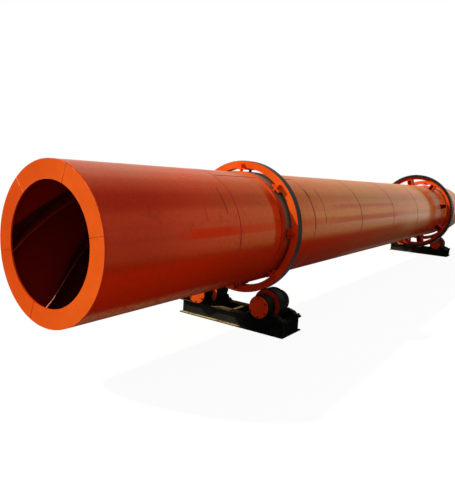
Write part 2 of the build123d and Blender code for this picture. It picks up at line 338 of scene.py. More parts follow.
def skin(tree, shader, colour, tone, grain, smooth, rough, strength=0.2, depth=0.001):
    """Links a finish's colour, with the uneven gloss and the grain of its paint."""
    feed(tree, shader, colour, range_of(tree, tone, smooth, rough), grain, strength, depth)


bolt_black, tree, shader = new_finish("bolt_black_oxide", specular_ior_level=0.06)
tone, grain = mottled(tree, 30.0, 300.0)
rubbed = mask_of(tree, rubbed_edge, width=0.0025, amount=0.9)
colour = cover(tree, tone, (0.007, 0.007, 0.007), (0.020, 0.016, 0.012))
colour = cover(tree, rubbed, colour, (0.14, 0.12, 0.10))
skin(tree, shader, colour, tone, grain, 0.34, 0.55)

# Shares of the bolt's head size: radius and height of each ring of the washer, then of the hexagon.
washer_shares = ((0.66, 0.0), (0.68, 0.03), (0.68, 0.13), (0.65, 0.16))
head_shares = ((0.577, 0.16), (0.577, 0.70), (0.48, 0.80))


def hexagon_bolt(shape, seat, outward, size, spin):
    """A bolt head of that size across its flats, on its washer, standing on a seat and turned by spin."""
    outward = Vector(outward).normalized()
    turn = outward.to_track_quat("Z", "Y").to_matrix()
    for shares, corners in ((washer_shares, 20), (head_shares, 6)):
        rings = []
        for radius, height in shares:
            ring = []
            for corner in range(corners):
                angle = spin + math.tau * corner / corners
                reach = (size * radius * math.cos(angle), size * radius * math.sin(angle), size * height)
                ring.append(Vector(seat) + turn @ Vector(reach))
            rings.append(ring)
        loft_rings(shape, rings, smooth=False)


def middle_of(node, way):
    """The middle of a CAD node's box along one axis."""
    return sum(getattr(corner, way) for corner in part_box(node)) / 2


lug_height = 0.014
foot_bolt_size = 0.020
foot_bolt_gauge = 0.038
foot_bolt_reaches = (0.258, -0.172)
roller_side = {side: middle_of(f"feed_{side}_roller", "y") for side in sides}
roller_height = middle_of("feed_left_roller", "z")
for station in stations:
    bolts = bmesh.new()
    for beam in ("front_beam", "back_beam"):
        beam_middle = middle_of(f"{station}_{beam}", "x")
        for side in sides:
            for reach in foot_bolt_reaches:
                lug_middle = roller_side[side] + math.copysign(reach, reach * roller_side[side])
                for gauge in (-foot_bolt_gauge / 2, foot_bolt_gauge / 2):
                    seat = (beam_middle + gauge, lug_middle, beam_top + lug_height)
                    hexagon_bolt(bolts, seat, up, foot_bolt_size, bead_chance.uniform(0.0, 1.0))
    show(f"{station}_foot_bolts", bolts, bolt_black, "base")


# Bearing caps: turned discs that close the outer side of each housing, on a ring of six bolts.
# Steel plate sprayed orange like the drum's end, with oil stains and rubbed rims.
spray_stain, given, result = effect("spray_stain", {"Scale": 9.0, "Amount": 0.5}, ["Mask"])
place = spray_stain.nodes.new("ShaderNodeTexCoord").outputs
blots = noise(spray_stain, place["Object"], given["Scale"], 9.0, 0.7)
blots = times(spray_stain, rise(spray_stain, blots, 0.56, 0.74), given["Amount"])
spray_stain.links.new(blots, result.inputs["Mask"])

cap_orange, tree, shader = new_finish("cap_orange_paint", specular_ior_level=0.03)
tone, grain = mottled(tree, 8.0, 200.0)
stained = mask_of(tree, spray_stain, scale=14.0, amount=0.5)
rubbed = mask_of(tree, rubbed_edge, width=0.004, amount=0.7)
# The caps on the right, in the drum's shadow, are painted a darker and redder copy of the paint on the
# left: painted shade.
left_tone = cover(tree, tone, (0.58, 0.064, 0.005), (0.70, 0.090, 0.008))
right_tone = cover(tree, tone, (0.52, 0.026, 0.002), (0.68, 0.040, 0.003))
colour = cover(tree, rise(tree, spot_on(tree)["Y"], -0.1, 0.1), right_tone, left_tone)
colour = cover(tree, stained, colour, (0.24, 0.024, 0.005))
colour = cover(tree, rubbed, colour, (0.22, 0.10, 0.05))
skin(tree, shader, colour, tone, grain, 0.42, 0.55)
dress_stations(cap_orange, "bearing_caps")

cap_bolt_red, tree, shader = new_finish("cap_bolt_red", specular_ior_level=0.02)
tone, grain = mottled(tree, 30.0, 300.0)
colour = cover(tree, tone, (0.050, 0.008, 0.003), (0.22, 0.018, 0.003))
skin(tree, shader, colour, tone, grain, 0.45, 0.6)

cap_bolt_count = 6
cap_bolt_size = 0.016
cap_bolt_circle = 0.0995
for station in stations:
    bolts = bmesh.new()
    cap_low, cap_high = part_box(f"{station}_bearing_caps")
    for face, way in ((cap_low.x, -1), (cap_high.x, 1)):
        for side in sides:
            for bolt in range(cap_bolt_count):
                angle = math.pi / 2 + math.tau * bolt / cap_bolt_count
                seat = (
                    face,
                    roller_side[side] + cap_bolt_circle * math.cos(angle),
                    roller_height + cap_bolt_circle * math.sin(angle),
                )
                hexagon_bolt(bolts, seat, (way, 0, 0), cap_bolt_size, bead_chance.uniform(0.0, 1.0))
    show(f"{station}_cap_bolts", bolts, cap_bolt_red, "base")


# Support rollers on their shafts: forged rollers shrunk on turned shafts, two to a riding ring.
# Their sides are painted orange-red. The treads are bare steel, dark with oil, and the shafts are bright.
shaft_steel, tree, shader = new_finish("shaft_steel", specular_ior_level=0.5, metallic=0.9)
tone, grain = mottled(tree, 12.0, 400.0)
colour = cover(tree, tone, (0.10, 0.095, 0.085), (0.22, 0.21, 0.20))
skin(tree, shader, colour, tone, grain, 0.3, 0.5, strength=0.1)
dress_stations(shaft_steel, "left_shaft", "right_shaft")


def without_sign(tree, value):
    """How large a value is, whichever its sign."""
    return wire(tree, "ShaderNodeMath", {0: value}, operation="ABSOLUTE").outputs[0]


# Which way a face looks along the drum's axis: 1 on flat sides, 0 on treads and bores.
flat_side, given, result = effect("flat_side", {"Sharpness": 0.9}, ["Mask"])
place = flat_side.nodes.new("ShaderNodeTexCoord").outputs
along = wire(flat_side, "ShaderNodeSeparateXYZ", {0: place["Normal"]}).outputs["X"]
flat = sum_up(flat_side, "GREATER_THAN", without_sign(flat_side, along), given["Sharpness"])
flat_side.links.new(flat, result.inputs["Mask"])


def between(tree, value, foot, top, end, tail):
    """A mask that climbs from foot to top, stays up to end and falls to 0 at tail."""
    return times(tree, rise(tree, value, foot, top), rise(tree, value, tail, end))


roller_iron, tree, shader = new_finish("roller_iron", specular_ior_level=0.008)
tone, grain = mottled(tree, 7.0, 160.0)
painted = mask_of(tree, flat_side)
stained = mask_of(tree, spray_stain, scale=9.0, amount=0.6)
rubbed = mask_of(tree, rubbed_edge, width=0.006, amount=0.9)
tread = cover(tree, tone, (0.0022, 0.0023, 0.0020), (0.0052, 0.0055, 0.0048))
# The rollers' sides are two copies of one paint: bright orange on the left, where the sun falls, and dark
# red on the right, in the drum's shadow: painted light and shade. A band on each right tread, where the
# riding ring runs, is lighter on top only: a polished band with a painted highlight.
spot = spot_on(tree)
sunlit_side = rise(tree, spot["Y"], -0.1, 0.1)
shaded_paint = cover(tree, tone, (0.27, 0.011, 0.0015), (0.40, 0.020, 0.002))
sunlit_paint = cover(tree, tone, (0.82, 0.10, 0.008), (0.95, 0.14, 0.014))
paint = cover(tree, sunlit_side, shaded_paint, sunlit_paint)
paint = cover(tree, stained, paint, (0.10, 0.008, 0.003))
polish_and_highlight = sum_up(tree, "SUBTRACT", rise(tree, spot["Z"], roller_height + 0.04, roller_height + 0.15), sunlit_side)
polish_over, polish_in = 0.012, 0.004
for station in stations:
    low, high = (corner.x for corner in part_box(f"{station}_riding_ring"))
    starts, stops = (low - polish_over, low + polish_in), (high - polish_in, high + polish_over)
    ridden = between(tree, spot["X"], *starts, *stops)
    tread = cover(tree, times(tree, ridden, polish_and_highlight), tread, (0.026, 0.028, 0.023))
colour = cover(tree, painted, tread, paint)
colour = cover(tree, rubbed, colour, (0.09, 0.065, 0.04))
skin(tree, shader, colour, tone, grain, 0.36, 0.52, strength=0.25, depth=0.0015)
dress_stations(roller_iron, "left_roller", "right_roller")


# Drum shell: eight courses of rolled plate, butt-welded end to end, each with one seam along it.
# Mild steel, red-orange gloss enamel rolled on in long laps; the top has weathered and gathered dust. Along
# the right side and the underside, reflections of the sky, the ground and the fittings are painted in.
axis_height = middle_of("shell_course_2", "z")
drum_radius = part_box("shell_course_2")[1].y
shell_wall = 0.012
course_count = 8
courses = [f"shell_course_{number + 1}" for number in range(course_count)]

# Place on the drum: distance along it, turn round it from the top towards its right side, and radius.
drum_place, given, result = effect(
    "drum_place", {"Axis height": axis_height}, ["Along", "Turn", "Radius", "Upward"]
)
spot = spot_on(drum_place)
height = sum_up(drum_place, "SUBTRACT", spot["Z"], given["Axis height"])
right = times(drum_place, spot["Y"], -1.0)
turn = sum_up(drum_place, "DIVIDE", sum_up(drum_place, "ARCTAN2", right, height), math.tau)
squares = sum_up(drum_place, "ADD", times(drum_place, right, right), times(drum_place, height, height))
radius = sum_up(drum_place, "POWER", squares, 0.5)
upward = sum_up(drum_place, "DIVIDE", height, radius)
for label, value in (("Along", spot["X"]), ("Turn", turn), ("Radius", radius), ("Upward", upward)):
    drum_place.links.new(value, result.inputs[label])

# Lap streaks run along the drum, as the roller laid the paint.
lap_streak, given, result = effect("lap_streak", {"Length": 0.12, "Width": 7.0}, ["Mask"])
spot = spot_on(lap_streak)
stretched = {"X": times(lap_streak, spot["X"], given["Length"])}
for way in ("Y", "Z"):
    stretched[way] = times(lap_streak, spot[way], given["Width"])
laps = noise(lap_streak, wire(lap_streak, "ShaderNodeCombineXYZ", stretched).outputs[0], 1.0, 6.0)
lap_streak.links.new(rise(lap_streak, laps, 0.35, 0.65), result.inputs["Mask"])

# A thin arc across the drum at one distance along it, from one turn to another.
thin_arc, given, result = effect(
    "thin_arc",
    {"At": 0.0, "First turn": 0.1, "Last turn": 0.2, "Half width": 0.009, "Amount": 1.0},
    ["Mask"],
)
along, turn, _, _ = place_effect(thin_arc, drum_place)
reach = without_sign(thin_arc, sum_up(thin_arc, "SUBTRACT", along, given["At"]))
mark = times(
    thin_arc,
    sum_up(thin_arc, "LESS_THAN", reach, given["Half width"]),
    sum_up(thin_arc, "GREATER_THAN", turn, given["First turn"]),
    sum_up(thin_arc, "LESS_THAN", turn, given["Last turn"]),
    given["Amount"],
)
thin_arc.links.new(mark, result.inputs["Mask"])

# Between two distances along the drum, with soft ends.
along_band, given, result = effect("along_band", {"First": -1.0, "Last": 1.0, "Soft": 0.05}, ["Mask"])
along = place_effect(along_band, drum_place)["Along"]
ends = []
for high, low in ((along, given["First"]), (given["Last"], along)):
    share = sum_up(along_band, "DIVIDE", sum_up(along_band, "SUBTRACT", high, low), given["Soft"])
    ends.append(rise(along_band, share, -0.5, 0.5))
along_band.links.new(times(along_band, *ends), result.inputs["Mask"])


def stretch(tree, first, last, soft):
    """A mask over a stretch of the drum between two distances along it."""
    return mask_of(tree, along_band, first=first, last=last, soft=soft)


shell_enamel, tree, shader = new_finish(
    "shell_enamel", specular_ior_level=0.0, coat_roughness=0.16, coat_ior=1.45
)
along, turn, radius, upward = place_effect(tree, drum_place)
tone, grain = mottled(tree, 1.6, 140.0)
laps = mask_of(tree, lap_streak, length=0.12, width=9.0)
fine_laps = mask_of(tree, lap_streak, length=0.22, width=26.0)
stained = mask_of(tree, spray_stain, scale=5.0, amount=0.35)
# The first course has faded a little more than the rest.
faded = cover(tree, laps, (0.46, 0.020, 0.0012), (0.55, 0.032, 0.004))
colour = cover(tree, laps, (0.56, 0.027, 0.003), (0.68, 0.046, 0.007))
colour = cover(tree, rise(tree, along, -5.7, -4.9), faded, colour)
# A tan dust layer and a painted sheen of the sky lie on the right, stronger towards the discharge end.
# Beside the ring and the gear the shell mirrors them instead, so the red shows there: painted reflection.
ring_mirrored = times(tree, stretch(tree, -3.91, -3.42, 0.05), rise(tree, turn, 0.085, 0.155))
gear_mirrored = sum_up(tree, "MAXIMUM", stretch(tree, 2.50, 3.0, 0.24), stretch(tree, 3.50, 4.10, 0.16))
mirrors_fittings = sum_up(tree, "MAXIMUM", ring_mirrored, times(tree, gear_mirrored, 0.62))
mirrors_sky = range_of(tree, mirrors_fittings, 1.0, 0.0)
dust_and_sky_sheen = times(
    tree,
    rise(tree, along, -5.8, -1.0),
    between(tree, turn, -0.06, 0.03, 0.265, 0.30),
    range_of(tree, tone, 0.76, 1.0),
    range_of(tree, fine_laps, 0.86, 1.0),
    mirrors_sky,
)
dust_and_sheen_tint = cover(tree, rise(tree, along, 0.2, 2.2), (0.60, 0.218, 0.017), (0.74, 0.29, 0.025))
# Under the gear the sheen is paler: a painted reflection of the sky between the brackets.
under_gear = stretch(tree, 2.98, 3.52, 0.14)
dust_and_sheen_tint = cover(tree, under_gear, dust_and_sheen_tint, (0.56, 0.27, 0.145))
colour = cover(tree, dust_and_sky_sheen, colour, dust_and_sheen_tint)
# A pale band, a painted highlight, runs through the middle courses with a redder band on each side of it.
pale_highlight = times(tree, between(tree, turn, 0.192, 0.200, 0.213, 0.219), stretch(tree, -3.1, 2.6, 0.8))
colour = cover(tree, times(tree, pale_highlight, 0.4), colour, (0.85, 0.36, 0.07))
lower_red_band = between(tree, turn, 0.219, 0.224, 0.235, 0.240)
upper_red_band = times(tree, between(tree, turn, 0.172, 0.178, 0.187, 0.192), 0.75)
red_bands = sum_up(tree, "MAXIMUM", lower_red_band, upper_red_band)
red_bands = times(tree, red_bands, stretch(tree, -2.4, 0.15, 0.5), range_of(tree, laps, 0.50, 0.95))
colour = cover(tree, red_bands, colour, (0.46, 0.050, 0.010))
# A broad belt down the right side is painted brighter: a painted sheen of the sky.
belt_strength = range_of(tree, rise(tree, along, -5.8, -4.9), 0.10, 0.30)
belt = times(tree, between(tree, turn, 0.16, 0.19, 0.262, 0.285), belt_strength, mirrors_sky)
belt_tone = cover(tree, rise(tree, along, -5.2, -2.5), (0.95, 0.12, 0.03), (0.95, 0.26, 0.04))
colour = cover(tree, belt, colour, belt_tone)
# The lower half carries a painted reflection of the ground: deep red at the feed end, browner in the
# middle, red by the gear and pale at the end.
lower = cover(tree, rise(tree, along, -5.2, -4.2), (0.73, 0.022, 0.0008), (0.58, 0.022, 0.0015))
lower = cover(tree, rise(tree, along, -3.6, 0.8), lower, (0.47, 0.095, 0.021))
lower = cover(tree, rise(tree, along, 1.2, 2.4), lower, (0.46, 0.036, 0.007))
lower = cover(tree, rise(tree, along, 4.5, 4.8), lower, (0.60, 0.30, 0.14))
low_side = sum_up(tree, "MAXIMUM", rise(tree, turn, 0.262, 0.300), rise(tree, turn, -0.25, -0.36))
colour = cover(tree, low_side, colour, lower)
# Before the gear the painted sheen reaches further down and is paler.
low_sheen = times(tree, between(tree, turn, 0.195, 0.225, 0.288, 0.335), stretch(tree, 0.6, 2.65, 0.8))
colour = cover(tree, times(tree, low_sheen, 0.4), colour, (0.84, 0.42, 0.17))
# Along the round seams of the middle courses the dust layer and the painted sheen give way to red.
for course in courses[2:5]:
    seam_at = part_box(course)[1].x
    thin = mask_of(
        tree, thin_arc, at=seam_at, first_turn=0.0, last_turn=0.285, half_width=0.02, amount=0.9
    )
    colour = cover(tree, thin, colour, (0.44, 0.100, 0.012))
# One saturated red stripe runs along the right side of the first courses.
red_stripe_near = times(tree, between(tree, along, -5.175, -5.155, -4.75, -4.15), 0.75)
red_stripe_on = range_of(tree, rise(tree, along, -2.4, -4.6), 0.15, 0.45)
red_stripe_on = sum_up(tree, "MAXIMUM", times(tree, red_stripe_on, rise(tree, along, -5.4, -5.15)), red_stripe_near)
red_stripe = times(tree, between(tree, turn, 0.214, 0.221, 0.236, 0.243), red_stripe_on)
colour = cover(tree, red_stripe, colour, (0.84, 0.030, 0.0006))
# Pale bands along both sides of the underside, and none over the station: a painted reflection of the lit
# ground.
blotch = mottled(tree, 20.0, 60.0)
ground_reflection_tone = cover(tree, rise(tree, along, -4.6, -2.0), (1.0, 0.33, 0.14), (1.0, 0.44, 0.21))
ground_reflection = times(
    tree,
    between(tree, upward, -0.96, -0.86, -0.80, -0.65),
    range_of(tree, stretch(tree, -4.6, -1.6, 1.0), 0.95, 0.0),
    range_of(tree, rise(tree, blotch["Tone"], 0.3, 0.6), 0.45, 1.0),
    range_of(tree, laps, 0.5, 1.0),
)
colour = cover(tree, ground_reflection, colour, ground_reflection_tone)
# Pale dust on the crown, then stains, then thin dark arcs: painted shadow lines at steps in the plate.
crown = times(tree, rise(tree, upward, 0.60, 1.0), range_of(tree, tone, 0.42, 0.64))
colour = cover(tree, crown, colour, (0.40, 0.19, 0.105))
colour = cover(tree, stained, colour, (0.26, 0.018, 0.003))
streaky = range_of(tree, tone, 0.6, 1.0)
for mark_at, first_turn, last_turn, amount in (
    (-2.70, 0.112, 0.146, 1.0),
    (-2.70, 0.146, 0.236, 0.8),
    (-2.985, 0.112, 0.25, 0.75),
    (-2.965, 0.118, 0.15, 0.8),
    (-4.66, 0.12, 0.189, 0.6),
    (-4.95, 0.172, 0.203, 0.3),
    (3.32, 0.06, 0.32, 0.6),
):
    mark = mask_of(tree, thin_arc, at=mark_at, first_turn=first_turn, last_turn=last_turn, amount=amount)
    colour = cover(tree, times(tree, mark, streaky), colour, (0.028, 0.005, 0.003))
# The skin is speckled with grit and blotched where the plate below it is uneven.
for layer, clear, full, amount, tint in (
    ("Tone", 0.35, 0.75, 0.07, (0.22, 0.020, 0.006)),
    ("Grain", 0.45, 0.70, 0.07, (0.28, 0.022, 0.005)),
    ("Grain", 0.50, 0.28, 0.04, (0.85, 0.22, 0.10)),
):
    speckle = range_of(tree, rise(tree, blotch[layer], clear, full), 0.0, amount)
    colour = cover(tree, speckle, colour, tint)
# Inside, the wall is painted darker behind the flights and darkest in their corners: painted shade where
# the flights keep out the light from the mouth.
inside = rise(tree, radius, drum_radius - 0.3 * shell_wall, drum_radius - 0.6 * shell_wall)
flight_lead = 3.4
feed_face = -6.0
run_in = times(tree, sum_up(tree, "SUBTRACT", along, feed_face), 1 / flight_lead)
behind = sum_up(tree, "SUBTRACT", turn, run_in)
wall = cover(tree, rise(tree, behind, -0.31, -0.28), (0.20, 0.007, 0.0035), (0.33, 0.011, 0.004))
wall = cover(tree, rise(tree, behind, -0.47, -0.50), wall, (0.09, 0.010, 0.006))
corner_at, corner_taper = 0.754, 0.083
corner = sum_up(tree, "ADD", sum_up(tree, "ADD", behind, corner_at), times(tree, along, corner_taper))
corner = times(tree, rise(tree, corner, 0.008, -0.002), rise(tree, behind, -0.33, -0.30))
wall = cover(tree, corner, wall, (0.085, 0.006, 0.004))
colour = cover(tree, inside, colour, wall)
# The gloss grows towards the discharge end. It is dull on the crown, below and where the shell mirrors the
# ring and the gear.
gloss = range_of(tree, rise(tree, along, -5.8, 0.5), 0.14, 0.58)
gloss = times(tree, gloss, range_of(tree, rise(tree, upward, 0.4, 0.95), 1.0, 0.55))
gloss = sum_up(tree, "MAXIMUM", gloss, range_of(tree, rise(tree, upward, 0.7, 1.0), 0.0, 0.28))
for mask, clear, full in (
    (rise(tree, upward, -0.27, 0.08), 0.05, 1.0),
    (laps, 0.8, 1.1),
    (red_stripe, 1.0, 0.15),
    (red_bands, 1.0, 0.6),
    (stretch(tree, -1.8, 1.3, 1.0), 1.0, 0.86),
    (mirrors_fittings, 1.0, 0.12),
    (under_gear, 1.0, 0.3),
    (inside, 1.0, 0.0),
):
    gloss = times(tree, gloss, range_of(tree, mask, clear, full))
tree.links.new(gloss, shader["Coat Weight"])
ripples = noise(tree, tree.nodes.new("ShaderNodeTexCoord").outputs["Object"], 1.3, 2.0)
relief = sum_up(tree, "ADD", ripples, times(tree, grain, 0.04))
feed(tree, shader, colour, range_of(tree, tone, 0.38, 0.52), relief, strength=0.12, depth=0.02)
dress(shell_enamel, *courses)


def spokes(angle):
    """The ways outward and sideways at an angle round the drum, from its left side up over the top."""
    return Vector((0, math.cos(angle), math.sin(angle))), Vector((0, -math.sin(angle), math.cos(angle)))


def bead_ring(shape, along, radius, width, height):
    """A weld bead right round the drum, rippled like the straight ones."""
    steps = 300
    rings = []
    for step in range(steps):
        outward = spokes(math.tau * step / steps)[0]
        ripple = ripple_at(step)
        centre = Vector((along, 0, axis_height)) + outward * radius
        rings.append(
            [centre + Vector((side * width, 0, 0)) + outward * (lift * height * ripple)
             for side, lift in bead_section_shares]
        )
    loft_rings(shape, rings, closed=True)


seam_red, tree, shader = new_finish("seam_red", specular_ior_level=0.05)
# Painted over at the feed end, rusty and grimy further along.
tone, grain = mottled(tree, 4.0, 200.0)
rusty = cover(tree, tone, (0.13, 0.013, 0.005), (0.34, 0.026, 0.005))
covered = cover(tree, tone, (0.24, 0.014, 0.003), (0.52, 0.026, 0.003))
colour = cover(tree, rise(tree, place_effect(tree, drum_place)["Along"], -4.0, -3.4), covered, rusty)
skin(tree, shader, colour, tone, grain, 0.4, 0.6)

seam_width = 0.018
seam_height = 0.0014
round_seams = bmesh.new()
for course in courses[:-1]:
    bead_ring(round_seams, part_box(course)[1].x, drum_radius - seam_height / 2, seam_width, seam_height)
show("shell_round_seams", round_seams, seam_red, "drum")

# The seam along each course is turned from its neighbour's, so that no four plates meet at a point.
first_seam_turn = math.radians(112.8)
seam_stagger = math.radians(165.0)
long_seams = bmesh.new()
for number, course in enumerate(courses):
    low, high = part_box(course)
    outward = spokes(first_seam_turn + (number - 1) * seam_stagger)[0]
    foot = Vector((0, 0, axis_height)) + outward * drum_radius
    start, end = (foot + Vector((x, 0, 0)) for x in (low.x + seam_width, high.x - seam_width))
    bead(long_seams, start, end, outward, seam_width, seam_height)
show("shell_long_seams", long_seams, seam_red, "drum")


# End plates: flat rings cut in six segments from thick plate, butt-joined and welded to the shell's rim.
# Sprayed bright orange. The joints show as dark hair lines, and the rims are rubbed pale.
end_orange, tree, shader = new_finish("end_plate_orange", specular_ior_level=0.02)
_, turn, _, upward = place_effect(tree, drum_place)
tone, grain = mottled(tree, 3.0, 160.0)
stained = mask_of(tree, spray_stain, scale=45.0, amount=0.35)
rubbed = mask_of(tree, rubbed_edge, width=0.010, amount=0.9)
left_tone = cover(tree, tone, (0.60, 0.058, 0.002), (0.68, 0.074, 0.004))
right_tone = cover(tree, tone, (0.70, 0.088, 0.006), (0.78, 0.110, 0.009))
colour = cover(tree, rise(tree, spot_on(tree)["Y"], 0.55, -0.5), left_tone, right_tone)
colour = cover(tree, stained, colour, (0.46, 0.040, 0.004))
# Two joints were filled. The filler of the upper left one has stayed pale.
filled_joints = (48, 228)
pale_turn = (filled_joints[0] - 90) / 360
pale_half_turn = 0.0008
off_joint = without_sign(tree, sum_up(tree, "SUBTRACT", turn, pale_turn))
colour = cover(tree, sum_up(tree, "LESS_THAN", off_joint, pale_half_turn), colour, (0.95, 0.30, 0.13))
rubbed = times(tree, rubbed, rise(tree, upward, -0.3, 0.6))
colour = cover(tree, rubbed, colour, (0.74, 0.27, 0.13))
colour = cover(tree, mask_of(tree, flat_side, sharpness=0.4), (0.60, 0.030, 0.003), colour)
skin(tree, shader, colour, tone, grain, 0.45, 0.58)
dress_stations(end_orange, "end_plate")

# The joints were filled nearly flush before the plate was sprayed, with one short miss in each.
joint_fills = bmesh.new()
joint_depth = 0.003
fill_half_width = 0.0024
fill_steps = 12
mouth_radius = 0.457
miss = (0.497, 0.508)
fill_stops = ((mouth_radius + 0.001, miss[0]), (miss[1], drum_radius - 0.001))
for face, way in ((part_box("feed_end_plate")[0].x, -1), (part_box("discharge_end_plate")[1].x, 1)):
    for joint in filled_joints:
        outward, across = spokes(math.radians(joint))
        for first, last in fill_stops:
            rings = []
            for step in range(fill_steps + 1):
                at = Vector((face, 0, axis_height)) + outward * (first + (last - first) * step / fill_steps)
                below = bead_chance.uniform(0.0001, 0.0004)
                corners = ((-1, joint_depth), (-1, below), (1, below), (1, joint_depth))
                rings.append(
                    [at + across * (side * fill_half_width) - Vector((way * low, 0, 0))
                     for side, low in corners]
                )
            loft_rings(joint_fills, rings)
show("end_joint_fills", joint_fills, end_orange, "drum")

rim_welds = bmesh.new()
rim_weld_width = 0.008
rim_weld_height = 0.003
for rim in (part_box("feed_end_plate")[1].x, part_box("discharge_end_plate")[0].x):
    bead_ring(rim_welds, rim, drum_radius - rim_weld_height, rim_weld_width, rim_weld_height)
show("end_plate_welds", rim_welds, shell_enamel, "drum")


# Spiral flights: twisted strips of plate inside the feed end, welded to the shell by one edge.
# Primed dark red, with the light on the free edges and the shade on the faces painted in.
flight_red, tree, shader = new_finish("flight_primer", specular_ior_level=0.05)
along, _, radius, upward = place_effect(tree, drum_place)
tone, grain = mottled(tree, 6.0, 120.0)
flight_tip = 0.4697
free_edge = rise(tree, radius, flight_tip + 0.005, flight_tip + 0.002)
# The free edges are painted lighter near the mouth, near white at the bottom of it where the sun comes in,
# and dim red on the flights above: painted light.
edge_mark = times(tree, rise(tree, along, -5.72, -5.96), rise(tree, upward, -0.25, -0.6))
edge_colour = cover(tree, rise(tree, along, -5.35, -5.80), (0.17, 0.020, 0.016), (0.44, 0.060, 0.045))
edge_colour = cover(tree, edge_mark, edge_colour, (0.85, 0.25, 0.15))
over = rise(tree, upward, -0.35, -0.10)
edge_colour = cover(tree, over, edge_colour, (0.34, 0.018, 0.011))
colour = cover(tree, tone, (0.022, 0.003, 0.002), (0.050, 0.005, 0.003))
# The faces above are painted lighter towards their free edges and darker by the shell: painted shade.
out_from_wall = rise(tree, radius, drum_radius - shell_wall, flight_tip + 0.0053)
upper_face = cover(tree, out_from_wall, (0.065, 0.005, 0.003), (0.14, 0.010, 0.006))
colour = cover(tree, over, colour, upper_face)
colour = cover(tree, free_edge, colour, edge_colour)
# Near the top of the mouth the flights take the wall's colour, so that their shaded faces don't show:
# painted light.
colour = cover(tree, rise(tree, upward, 0.55, 0.75), colour, (0.28, 0.009, 0.004))
skin(tree, shader, colour, tone, grain, 0.45, 0.65, strength=0.3, depth=0.002)
dress(flight_red, "spiral_flights")


# Riding rings on chairs over wrapper plates: forged rings held off the shell so that it can grow with heat.
# The chairs and the rings' sides are painted orange, the wrappers red. The treads are bare, dark and oily.
fitting_orange, tree, shader = new_finish("fitting_orange", specular_ior_level=0.02)
turn = place_effect(tree, drum_place)["Turn"]
tone, grain = mottled(tree, 5.0, 160.0)
stained = mask_of(tree, spray_stain, scale=10.0, amount=0.35)
rubbed = mask_of(tree, rubbed_edge, width=0.004, amount=0.35)
colour = cover(tree, tone, (0.68, 0.062, 0.005), (0.80, 0.095, 0.008))
# From the right side down, the chairs and brackets are painted a darker red, in the drum's shadow: painted
# shade.
shaded_red = cover(tree, tone, (0.36, 0.012, 0.002), (0.50, 0.022, 0.003))
colour = cover(tree, rise(tree, turn, 0.18, 0.23), colour, shaded_red)
colour = cover(tree, stained, colour, (0.25, 0.020, 0.004))
colour = cover(tree, rubbed, colour, (0.50, 0.06, 0.02))
skin(tree, shader, colour, tone, grain, 0.42, 0.55)
dress(fitting_orange, "feed_ring_chairs", "discharge_ring_chairs", "gear_brackets")

wrapper_enamel, tree, shader = new_finish("wrapper_enamel", specular_ior_level=0.0)
turn = place_effect(tree, drum_place)["Turn"]
tone, grain = mottled(tree, 3.0, 150.0)
end_face = mask_of(tree, flat_side)
colour = cover(tree, tone, (0.40, 0.016, 0.002), (0.54, 0.028, 0.003))
dusty = mask_of(tree, settled_dust, amount=0.6, patch_scale=4.0)
colour = cover(tree, dusty, colour, (0.36, 0.20, 0.12))
# Beside and under the rings the upper part is painted grey-brown: a painted reflection of the pale sky.
rub_margin = 0.055
for station in stations:
    ring_low, ring_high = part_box(f"{station}_riding_ring")
    band_mask = stretch(tree, ring_low.x - rub_margin, ring_high.x + rub_margin, 0.02)
    band_mask = times(tree, band_mask, rise(tree, turn, 0.30, 0.24))
    colour = cover(tree, band_mask, colour, (0.20, 0.12, 0.075))
colour = cover(tree, end_face, colour, (0.70, 0.065, 0.005))
skin(tree, shader, colour, tone, grain, 0.42, 0.55)
dress_stations(wrapper_enamel, "wrapper_plate")

ring_steel, tree, shader = new_finish("ring_steel", specular_ior_level=0.02)
_, turn, radius, _ = place_effect(tree, drum_place)
tone, grain = mottled(tree, 4.0, 160.0)
painted = mask_of(tree, flat_side)
stained = mask_of(tree, spray_stain, scale=8.0, amount=0.35)
rubbed = mask_of(tree, rubbed_edge, width=0.005, amount=0.7)
ring_low, ring_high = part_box("feed_riding_ring")
ring_radius = (ring_high.y - ring_low.y) / 2
ring_thickness = 0.080
outer = rise(tree, radius, ring_radius - 0.7 * ring_thickness, ring_radius - 0.3 * ring_thickness)
tread = cover(tree, tone, (0.020, 0.023, 0.018), (0.046, 0.049, 0.040))
# The tread is painted darker on the lower right: painted shade.
tread = cover(tree, rise(tree, turn, 0.24, 0.30), tread, (0.006, 0.007, 0.006))
bore = cover(tree, tone, (0.30, 0.030, 0.004), (0.46, 0.050, 0.006))
paint = cover(tree, tone, (0.70, 0.078, 0.006), (0.80, 0.105, 0.010))
# From the right side down, the sides are painted a deeper red, in the drum's shadow: painted shade.
shaded_paint = cover(tree, tone, (0.62, 0.026, 0.002), (0.74, 0.046, 0.003))
paint = cover(tree, rise(tree, turn, 0.19, 0.25), paint, shaded_paint)
paint = cover(tree, stained, paint, (0.35, 0.026, 0.004))
colour = cover(tree, painted, cover(tree, outer, bore, tread), paint)
colour = cover(tree, rubbed, colour, (0.20, 0.12, 0.08))
skin(tree, shader, colour, tone, grain, 0.36, 0.52)
dress_stations(ring_steel, "riding_ring")

ring_weld_paint, tree, shader = new_finish("ring_weld_paint", specular_ior_level=0.0)
# Painted orange on the upper part, where the sun falls, and the old red below, in shade: painted light and
# shade.
tone, grain = mottled(tree, 9.0, 200.0)
upper = cover(tree, tone, (0.70, 0.062, 0.006), (0.82, 0.095, 0.010))
under = cover(tree, tone, (0.36, 0.014, 0.002), (0.52, 0.024, 0.003))
colour = cover(tree, rise(tree, place_effect(tree, drum_place)["Turn"], 0.14, 0.19), upper, under)
skin(tree, shader, colour, tone, grain, 0.42, 0.55)

